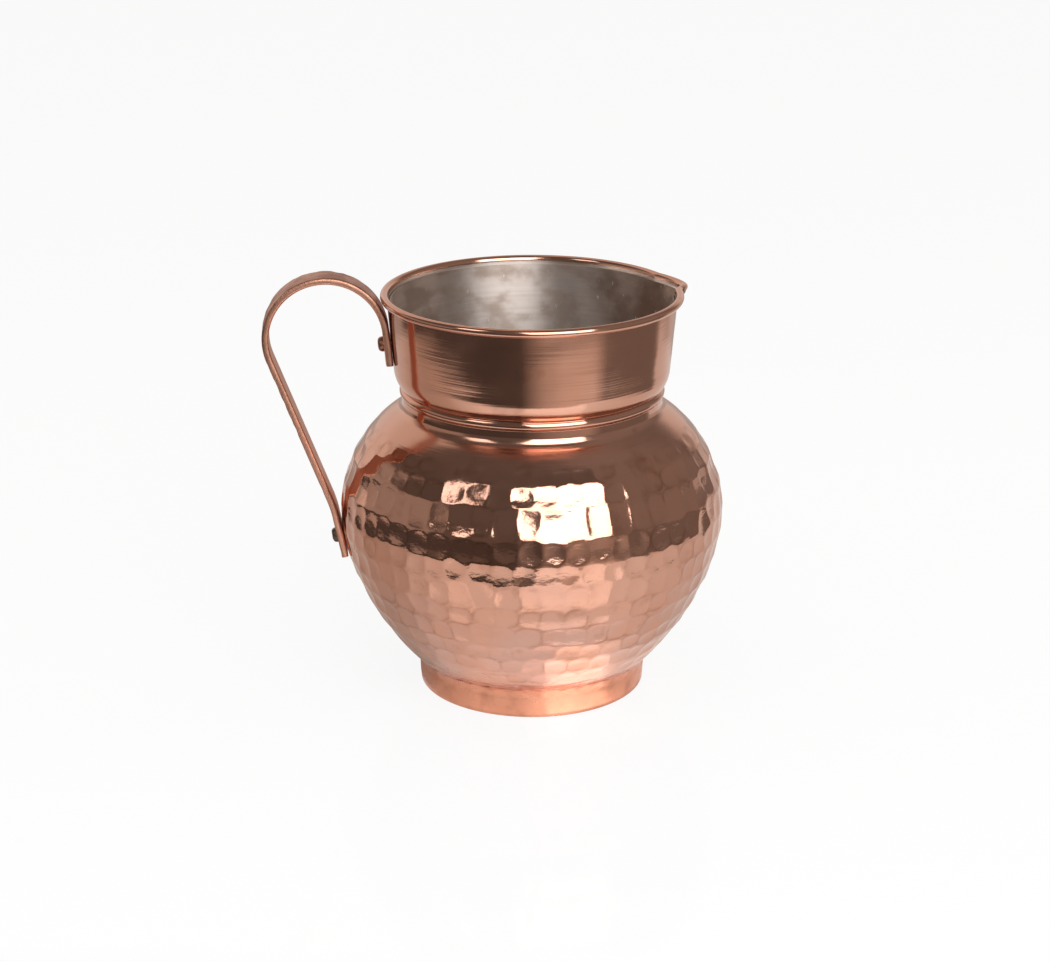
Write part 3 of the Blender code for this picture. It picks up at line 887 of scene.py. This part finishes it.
# Pieces

def make_vessel():
    """The whole sheet: outer side with its hammer marks, the rolled rim, and the inner side."""
    along, side, side_normals = side_path()
    angles = full_turn(VESSEL_COLUMNS)
    base = base_profile()[:-1]
    upper_places = turning_places(along, side, RING_EDGES[-1], UPPER_STEP, UPPER_BEND_DEG)
    bead = BEAD_DIAMETER / 2
    hollow = even_steps(arc(BEAD_CENTRE, bead - SHEET, 180.0, BEAD_END_DEG), BEAD_INNER_STEP)[1:]
    roll = even_steps(arc(BEAD_CENTRE, bead, BEAD_END_DEG, 180.0), BEAD_STEP)
    outer = np.vstack((base, side))
    lined = outer - outward_normals(outer) * SHEET
    lined_along = lengths_along(lined)
    inner_places = turning_places(lined_along, lined, 0.0, HIDDEN_STEP, HIDDEN_BEND_DEG)
    inner = at_places(inner_places, lined_along, lined)[-2::-1]

    ring_places, ring_turns = ring_grid(along, side, angles)
    places = np.vstack((ring_places, np.repeat(upper_places[:, None], VESSEL_COLUMNS, axis=1)))
    turns = np.vstack((ring_turns, np.tile(angles, (len(upper_places), 1))))
    points = at_places(places, along, side)
    normals = at_places(places, along, side_normals)
    shift = np.zeros_like(places)
    ridge = np.zeros_like(places)
    rings = slice(0, len(ring_places))
    marks = hammer_marks(along, side)
    shift[rings], ridge[rings] = hammered(ring_places, ring_turns, points[rings, :, 0], marks)
    flat = 1.0 - PAD_FLATNESS * pad_share(turns, points[..., 0], points[..., 1])
    wave = unevenness(turns, points[..., 1], SIDE_WAVELENGTH, SIDE_SEED)
    shift = shift * flat - SIDE_WAVE * (1.0 + wave)

    rim_and_inside = np.vstack((hollow, roll, inner))
    plain = [np.repeat(part[:, None, :], VESSEL_COLUMNS, axis=1) for part in (base, rim_and_inside)]
    grid = np.vstack((plain[0], points + normals * shift[..., None], plain[1]))
    turn_rows = [np.tile(angles, (len(part), 1)) for part in plain]
    turns = np.vstack((turn_rows[0], turns, turn_rows[1]))
    radius = grid[..., 0] + lip_shift(turns, grid[..., 1])
    rows = len(grid)
    faces = grid_faces(rows, VESSEL_COLUMNS)
    skin = turned_points(radius, grid[..., 1], turns)
    skin, faces = capped(skin, faces, rows, VESSEL_COLUMNS, base[0, 1], inner[-1, 1])
    vessel = add_piece("hammered_vessel", skin, faces, vessel_copper(), "vessel_body")

    # Closeness to the ridges, which sets the painted shade along them
    ridge_shade = np.zeros(len(skin))
    ridge_shade[base.shape[0] * VESSEL_COLUMNS:][:ridge.size] = ridge.ravel()
    add_values(vessel, "ridge", ridge_shade)
    tinned = np.zeros((rows, VESSEL_COLUMNS))
    inner_rows = rows - len(inner) - len(roll)
    facing_in = eased((BEAD_CENTRE[0] - grid[inner_rows:, :, 0]) / bead)
    tinned[inner_rows:] = facing_in * eased((RIM_TIN_TOP - grid[inner_rows:, :, 1]) / RIM_TIN_FADE)
    add_values(vessel, "tinned", np.append(tinned.ravel(), (0.0, 1.0)))


def make_lining():
    """The tin coat on the inner side, from the bottom's middle to just below the rim."""
    bowl = bowl_profile()[::LINING_THINNING]
    shoulder = shoulder_profile()[::LINING_THINNING]
    wall = np.vstack((base_profile()[:-1], bowl, shoulder, neck_profile()))
    keep = wall[:, 1] < NECK_TOP[1] - LINING_STOP
    normals = outward_normals(wall)[keep]
    wall = wall[keep]
    angles = full_turn(LINING_COLUMNS)
    back = wall - normals * (SHEET + LINING_GAP)
    face = wall - normals * (SHEET + LINING_GAP + LINING)
    wave = LINING_WAVE * unevenness(angles, face[:, 1:], LINING_WAVELENGTH, LINING_SEED)
    face_radius = np.maximum(face[:, :1] - LINING_SET_BACK + wave, AXIS_HOLE)
    radius = np.vstack((np.repeat(back[:, :1], LINING_COLUMNS, axis=1), face_radius[::-1]))
    height = np.vstack((back[:, 1:], face[::-1, 1:])) + np.zeros((1, LINING_COLUMNS))
    radius = radius + lip_shift(angles, height)
    points = turned_points(radius, height, angles)
    faces = grid_faces(len(radius), LINING_COLUMNS)
    points, faces = capped(points, faces, len(radius), LINING_COLUMNS, back[0, 1], face[0, 1])
    add_piece("wiped_lining", points, faces, wiped_tin(), "tin_lining")


def make_foot():
    """The plain ring under the bowl, with soft edges; the hammered bowl cuts its upper edge unevenly."""
    bottom = FOOT_RADIUS - FOOT_TAPER
    inside = FOOT_RADIUS - FOOT_WALL
    inside_top = FOOT_HEIGHT - FOOT_WALL
    shoulder = FOOT_HEIGHT - FOOT_FILLET * math.tan(BOWL_SLOPE / 2)
    flare = arc((FOOT_RADIUS + FOOT_FILLET, shoulder), FOOT_FILLET, 180.0 - BOWL_SLOPE_DEG, 180.0)
    top = (inside, inside_top), flare[0] + (-FOOT_TIP, FOOT_TIP)
    outer_side = (FOOT_RADIUS, shoulder - FOOT_TIP), (bottom, FOOT_EDGE)
    underside = (bottom - 2 * FOOT_EDGE, 0.0), (inside - FOOT_TAPER, 0.0)
    inner_side = (inside - FOOT_TAPER, FOOT_INNER_EDGE), (inside, inside_top - FOOT_INNER_EDGE)
    outline = np.vstack((
        even_steps(top, FOOT_STEP),
        even_steps(flare, FOOT_FLARE_STEP),
        even_steps(outer_side, FOOT_STEP),
        arc((bottom - FOOT_EDGE, FOOT_EDGE), FOOT_EDGE, 0.0, -90.0)[1:],
        even_steps(underside, FOOT_UNDER_STEP),
        even_steps(inner_side, FOOT_INNER_STEP),
    ))
    angles = full_turn(FOOT_COLUMNS)
    height = np.repeat(outline[:, 1:], FOOT_COLUMNS, axis=1)
    dents = FOOT_DENT * unevenness(angles, height, FOOT_DENT_WAVE, FOOT_DENT_SEED)
    dents = dents * np.clip(height / FOOT_FADE, 0.0, 1.0)
    crowded = FOOT_CREASE_CROWDING * angles
    creases = FOOT_CREASE * unevenness(crowded, height, FOOT_CREASE_WAVE, FOOT_CREASE_SEED)
    creases = creases * eased((height - shoulder) / FOOT_FADE)
    radius = outline[:, :1] - FOOT_SET_BACK + dents + creases
    points = turned_points(radius, height, angles)
    faces = [face[::-1] for face in grid_faces(len(outline), FOOT_COLUMNS, True)]
    # Foot copper, more saturated partly as painted warm light bounced from the belly
    look = satin_copper("foot_copper_look", FOOT_COPPER, FOOT_ROUGHNESS, FOOT_PITS)
    add_piece("foot_band", points, faces, look, "foot_ring")


def strap_line():
    """Centre line of the bent strap in the handle's plane, from its lower end to its upper end."""
    stand_off = STRAP_SEAT + STRAP_THICKNESS / 2
    low_wall, low_out, low_up = wall_at(LOWER_RIVET_HEIGHT)
    low_pad = low_wall + low_out * stand_off
    bend_start = low_pad + low_up * LOWER_RISE
    bend_centre = bend_start + low_out * BEND_RADIUS
    top_wall, top_out, top_up = wall_at(UPPER_RIVET_HEIGHT)
    top_pad = top_wall + top_out * stand_off
    loop_end = top_pad + top_up * UPPER_RISE
    loop_centre = loop_end + top_out * LOOP_RADIUS
    # The straight run crosses from the outside of the bend to the outside of the loop
    span = loop_centre - bend_centre
    lean = math.asin((LOOP_RADIUS + BEND_RADIUS) / np.linalg.norm(span))
    run = math.degrees(math.atan2(span[1], span[0]) - lean)
    bend_from = math.degrees(math.atan2(-low_out[1], -low_out[0]))
    bend = arc(bend_centre, BEND_RADIUS, bend_from % 360.0, run + 90.0)
    loop_to = math.degrees(math.atan2(-top_out[1], -top_out[0]))
    loop = arc(loop_centre, LOOP_RADIUS, run - 90.0, loop_to % 360.0)
    ends = low_pad - low_up * LOWER_TAIL, top_pad - top_up * UPPER_TAIL
    return even_steps(np.vstack((ends[0], bend, loop, ends[1])), STRAP_STEP)


def strap_section():
    """Points round the strap's rounded section: across its width and out from its middle."""
    half_width = STRAP_WIDTH / 2 - STRAP_EDGE_ROUND
    half_depth = STRAP_THICKNESS / 2 - STRAP_EDGE_ROUND
    corners = ((half_width, half_depth, 0.0), (-half_width, half_depth, 90.0),
               (-half_width, -half_depth, 180.0), (half_width, -half_depth, 270.0))
    rounds = [arc((x, y), STRAP_EDGE_ROUND, start, start + 90.0) for x, y, start in corners]
    loop = np.vstack((*rounds, rounds[0][:1]))
    return even_steps(loop, lengths_along(loop)[-1] / STRAP_AROUND)[:-1]


def make_strap():
    """The bent strap with its planished outer face and its two cut ends."""
    line = strap_line()
    outward = outward_normals(line)
    section = strap_section()
    rng = np.random.default_rng(STRAP_SEED)
    along = lengths_along(line)
    count = int(along[-1] / DENT_SPACING)
    dents = np.column_stack((
        rng.uniform(0.0, along[-1], count), rng.uniform(-STRAP_WIDTH / 2, STRAP_WIDTH / 2, count),
        rng.uniform(*DENT_HOLLOWS, count), rng.uniform(*DENT_DEPTHS, count)))
    outer_share = np.clip(section[:, 1] / (STRAP_THICKNESS / 2), 0.0, 1.0)
    points = []
    for place, centre, out in zip(along, line, outward):
        near = dents[np.abs(dents[:, 0] - place) < DENT_REACH]
        away = (near[:, 0] - place) ** 2 + (section[:, :1] - near[:, 1]) ** 2
        dip = np.minimum(away / (2 * near[:, 2]) - near[:, 3], 0.0).min(axis=1, initial=0.0)
        width = section[:, 0] * (1.0 - STRAP_WIDTH_WAVE * (1.0 + math.sin(place * STRAP_WIDTH_TURNS)))
        depth = section[:, 1] + (dip - STRAP_SET_BACK) * outer_share
        hug = eased((along[-1] - UPPER_TAIL - UPPER_RISE - place) / -UPPER_RISE) / (2 * NECK_TOP[0])
        hug = hug - eased((LOWER_TAIL + LOWER_RISE - place) / LOWER_RISE) / (2 * BELLY_RADIUS)
        depth = depth + hug * section[:, 0] ** 2
        flat = centre + depth[:, None] * out
        points.append(np.column_stack((AXIS.x - flat[:, 0], width, flat[:, 1])))
    rows = len(points)
    faces = grid_faces(rows, STRAP_AROUND) + end_faces(rows, STRAP_AROUND)
    skin = np.vstack(points)
    strap = add_piece("bent_strap", skin, faces, strap_copper(), "handle_strap")
    add_values(strap, "outer", np.tile(eased(outer_share), rows))


def make_rivet(name, node_name, height, head_height, material):
    """A rivet with a worn round head on the strap, its shank, and a peened head on the lining."""
    wall, out, up = wall_at(height)
    head_seat = STRAP_SEAT + STRAP_THICKNESS - STRAP_SET_BACK
    peen_seat = -(SHEET + LINING_GAP + LINING)
    head = HEAD_DIAMETER / 2
    peen = PEEN_DIAMETER / 2
    top = head_seat + head_height
    end = peen_seat - PEEN_HEIGHT
    edge = peen, peen_seat - PEEN_HEIGHT * PEEN_EDGE
    crown = bezier((head, head_seat), (head, top), (head * CROWN_FULLNESS, top), (RIVET_TIP, top))
    pad = bezier((RIVET_TIP, end), (peen * PEEN_FULLNESS, end), edge, (peen, peen_seat))
    shank = (SHANK_DIAMETER / 2, peen_seat), (SHANK_DIAMETER / 2, head_seat)
    outline = np.vstack((
        even_steps(pad, RIVET_STEP), even_steps(shank, SHANK_STEP), even_steps(crown, RIVET_STEP)))
    angles = full_turn(RIVET_COLUMNS)
    seed = len(node_name) + round(height * 1e4)
    wave = unevenness(angles, outline[:, 1:], RIVET_WAVELENGTH, seed)
    radius = outline[:, :1] * (1.0 - RIVET_UNEVEN + RIVET_UNEVEN * wave)
    worn = outline[:, 1:] > head_seat + RIVET_WEAR_FROM
    level = outline[:, 1:] - RIVET_WEAR * (1.0 + wave) * worn
    rise = radius * np.sin(angles)
    flat = [wall[i] + out[i] * level + up[i] * rise for i in range(2)]
    points = np.stack((AXIS.x - flat[0], radius * np.cos(angles), flat[1]), axis=-1).reshape(-1, 3)
    rows = len(outline)
    faces = grid_faces(rows, RIVET_COLUMNS) + end_faces(rows, RIVET_COLUMNS)
    add_piece(name, points, faces, material, node_name)


def dress_hidden_nodes():
    """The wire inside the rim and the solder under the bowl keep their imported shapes."""
    wire = satin_copper("wire_copper_look", DULL_COPPER, WIRE_ROUGHNESS, WIRE_PITS)
    for name, material in (("rim_wire", wire), ("foot_solder", soft_solder())):
        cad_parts[name].data.materials.clear()
        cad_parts[name].data.materials.append(material)


# Studio

def towards(bearing, elevation):
    """Unit vector from the vessel at a bearing and an elevation, in degrees."""
    turn = math.radians(VIEW_DEG + bearing)
    rise = math.radians(elevation)
    return Vector((math.sin(turn) * math.cos(rise), -math.cos(turn) * math.cos(rise), math.sin(rise)))


def room_at(bearings):
    """The room's columns after the first, at each bearing."""
    return [np.interp(bearings, ROOM[:, 0], ROOM[:, i]) for i in range(1, ROOM.shape[1])]


def make_screen(name, rows, glow, passing):
    """A screen that shows only in reflections: it lets a share of what is behind it through, and glows.

    The less it lets through, the warmer that light is.
    """
    mesh = bpy.data.meshes.new(name)
    columns = len(rows[0])
    faces = grid_faces(len(rows), columns, columns_closed=False)
    mesh.from_pydata([point for row in rows for point in row], [], faces)
    material = bpy.data.materials.new(name)
    material.use_nodes = True
    tree = material.node_tree
    tree.nodes.clear()
    share = stored(tree, "passing", "Color")
    strength = stored(tree, "glow")
    veil = node(tree, "BsdfTransparent", {"Color": share})
    lit = node(tree, "Emission", {"Color": ROOM_TINT, "Strength": strength})
    both = node(tree, "AddShader", {0: veil.outputs["BSDF"], 1: lit.outputs["Emission"]})
    node(tree, "OutputMaterial", {"Surface": both.outputs["Shader"]})
    mesh.materials.append(material)
    screen = add_object(name, mesh)
    add_values(screen, "glow", np.ravel(glow))
    tints = np.ones((len(rows) * columns, 4))
    tints[:, :3] = np.ravel(passing)[:, None] ** np.array(FLOOR_WARMTH)
    mesh.attributes.new("passing", "FLOAT_COLOR", "POINT").data.foreach_set("color", np.ravel(tints))
    screen.visible_camera = False
    screen.visible_diffuse = False
    screen.visible_shadow = False


def make_painted_room():
    """Painted reflections of dim walls and floor round the lit table, as a studio's room shows in polished
    metal.
    """
    bearings = np.arange(-180.0, 180.0 + ROOM_STEP_DEG, ROOM_STEP_DEG)
    below, halfway, above, share, edge, beyond, far, shine = room_at(bearings)
    none = np.zeros_like(bearings)
    wall = [[AXIS + towards(bearing, rise) * ROOM_REACH for bearing in bearings] for rise in WALL_RISES_DEG]
    glow = (below, below, halfway, halfway, above, above, above)
    make_screen("painted_wall_reflection", wall, glow, (none,) * len(wall))
    lift = Vector((0.0, 0.0, ROOM_LIFT))
    far_edge = np.maximum(edge * (1.0 + 2 * FLOOR_EDGE), FAR_FLOOR)
    distances = (
        none + ROOM_NEAR, none + SHINE_END, edge * (1.0 - FLOOR_EDGE), edge * (1.0 + FLOOR_EDGE),
        far_edge, far_edge * (1.0 + FLOOR_EDGE), none + ROOM_REACH)
    floor = [
        [AXIS + towards(bearing, 0.0) * reach + lift for bearing, reach in zip(bearings, row)]
        for row in distances]
    # The shine is a painted highlight of the floor at the foot, the share darkens the lit floor as painted
    # shade, and beyond its edge the floor is a dim glowing sheet
    glow = (shine, none, none, beyond, beyond, far, far)
    make_screen("painted_floor_reflection", floor, glow, (share, share, share, none, none, none, none))


def make_softboxes():
    aim = AXIS + Vector((0.0, 0.0, SOFTBOX_AIM))
    for name, bearing, elevation, distance, width, height, power in SOFTBOXES:
        light = bpy.data.lights.new(name, "AREA")
        light.shape = "RECTANGLE"
        light.size = width
        light.size_y = height
        light.energy = power
        lamp = add_object(name, light)
        lamp.location = aim + towards(bearing, elevation) * distance
        lamp.rotation_euler = towards(bearing, elevation).to_track_quat("Z", "Y").to_euler()
        lamp.visible_camera = False


def seen_directly(tree, by_camera, in_metal):
    """One number for what the camera looks at, another for what metal or glass shows, and else zero."""
    path = node(tree, "LightPath").outputs
    reflected = maths(tree, "MAXIMUM", path["Is Glossy Ray"], path["Is Transmission Ray"])
    seen = times(tree, path["Is Camera Ray"], by_camera)
    return maths(tree, "MAXIMUM", seen, times(tree, reflected, in_metal))


def make_floor():
    """A pale, faintly glossy floor that keeps the shadow, lifted towards white where it is seen."""
    sides = (-1, -1), (1, -1), (1, 1), (-1, 1)
    corners = [(x * FLOOR_REACH, y * FLOOR_REACH, 0.0) for x, y in sides]
    mesh = bpy.data.meshes.new("studio_floor")
    mesh.from_pydata(corners, [], [(0, 1, 2, 3)])
    material, tree, shader, place = new_look("pale_floor", 0.0)
    colour = blend(tree, noise(tree, place, FLOOR_CLOUD_WAVES), GREY_FLOOR, FLOOR)
    roughness = between(tree, noise(tree, place, FLOOR_POLISH_WAVES), 0.3, 0.7, *FLOOR_ROUGHNESS)
    normal = bump(tree, noise(tree, place, FLOOR_GRAIN_WAVES), FLOOR_DEPTH)
    set_look(tree, shader, colour, roughness, normal)
    shader.inputs["Specular IOR Level"].default_value = 1.0
    shader.inputs["IOR"].default_value = FLOOR_IOR
    lift = node(tree, "Emission", {"Color": (1.0, 1.0, 1.0)})
    seen = seen_directly(tree, FLOOR_LIFT, METAL_FLOOR_LIFT)
    mixed = node(tree, "MixShader", {0: seen, 1: shader.outputs["BSDF"], 2: lift.outputs["Emission"]})
    tree.links.new(mixed.outputs["Shader"], tree.nodes["Material Output"].inputs["Surface"])
    mesh.materials.append(material)
    add_object("studio_floor", mesh)


def make_world():
    """White where the camera, metal or glass looks at it, and a soft even light elsewhere."""
    world = bpy.data.worlds.new("studio_light")
    world.use_nodes = True
    tree = world.node_tree
    seen = seen_directly(tree, 1.0, 1.0)
    background = tree.nodes["Background"]
    put(tree, background.inputs["Color"], (1.0, 1.0, 1.0))
    put(tree, background.inputs["Strength"], between(tree, seen, 0.0, 1.0, WORLD_LEVEL, 1.0))
    bpy.context.scene.world = world


def make_camera():
    data = bpy.data.cameras.new("photo_camera")
    data.sensor_fit = "HORIZONTAL"
    data.sensor_width = CAMERA_SENSOR
    data.lens = CAMERA_LENS
    data.clip_start = CAMERA_NEAR
    camera = add_object("photo_camera", data)
    camera.location = AXIS + towards(0.0, 0.0) * CAMERA_DISTANCE + Vector((0.0, 0.0, CAMERA_HEIGHT))
    camera.rotation_euler = (
        math.radians(90.0 - CAMERA_PITCH_DEG), 0.0, math.radians(VIEW_DEG + CAMERA_YAW_DEG))
    bpy.context.scene.camera = camera


make_vessel()
make_lining()
make_foot()
make_strap()
brown_rivet = satin_copper("brown_rivet_look", DULL_COPPER, BROWN_RIVET_ROUGHNESS, RIVET_PITS)
# The lower rivet's darker grey look is partly painted shade
shaded_grey_rivet = satin_copper("grey_rivet_look", GREY_AND_SHADED_COPPER, GREY_RIVET_ROUGHNESS, RIVET_PITS)
make_rivet("round_rivet_upper", "upper_rivet", UPPER_RIVET_HEIGHT, UPPER_HEAD_HEIGHT, brown_rivet)
make_rivet("round_rivet_lower", "lower_rivet", LOWER_RIVET_HEIGHT, LOWER_HEAD_HEIGHT, shaded_grey_rivet)
dress_hidden_nodes()
make_painted_room()
make_softboxes()
make_floor()
make_world()
make_camera()
bpy.context.scene.view_settings.view_transform = "Standard"
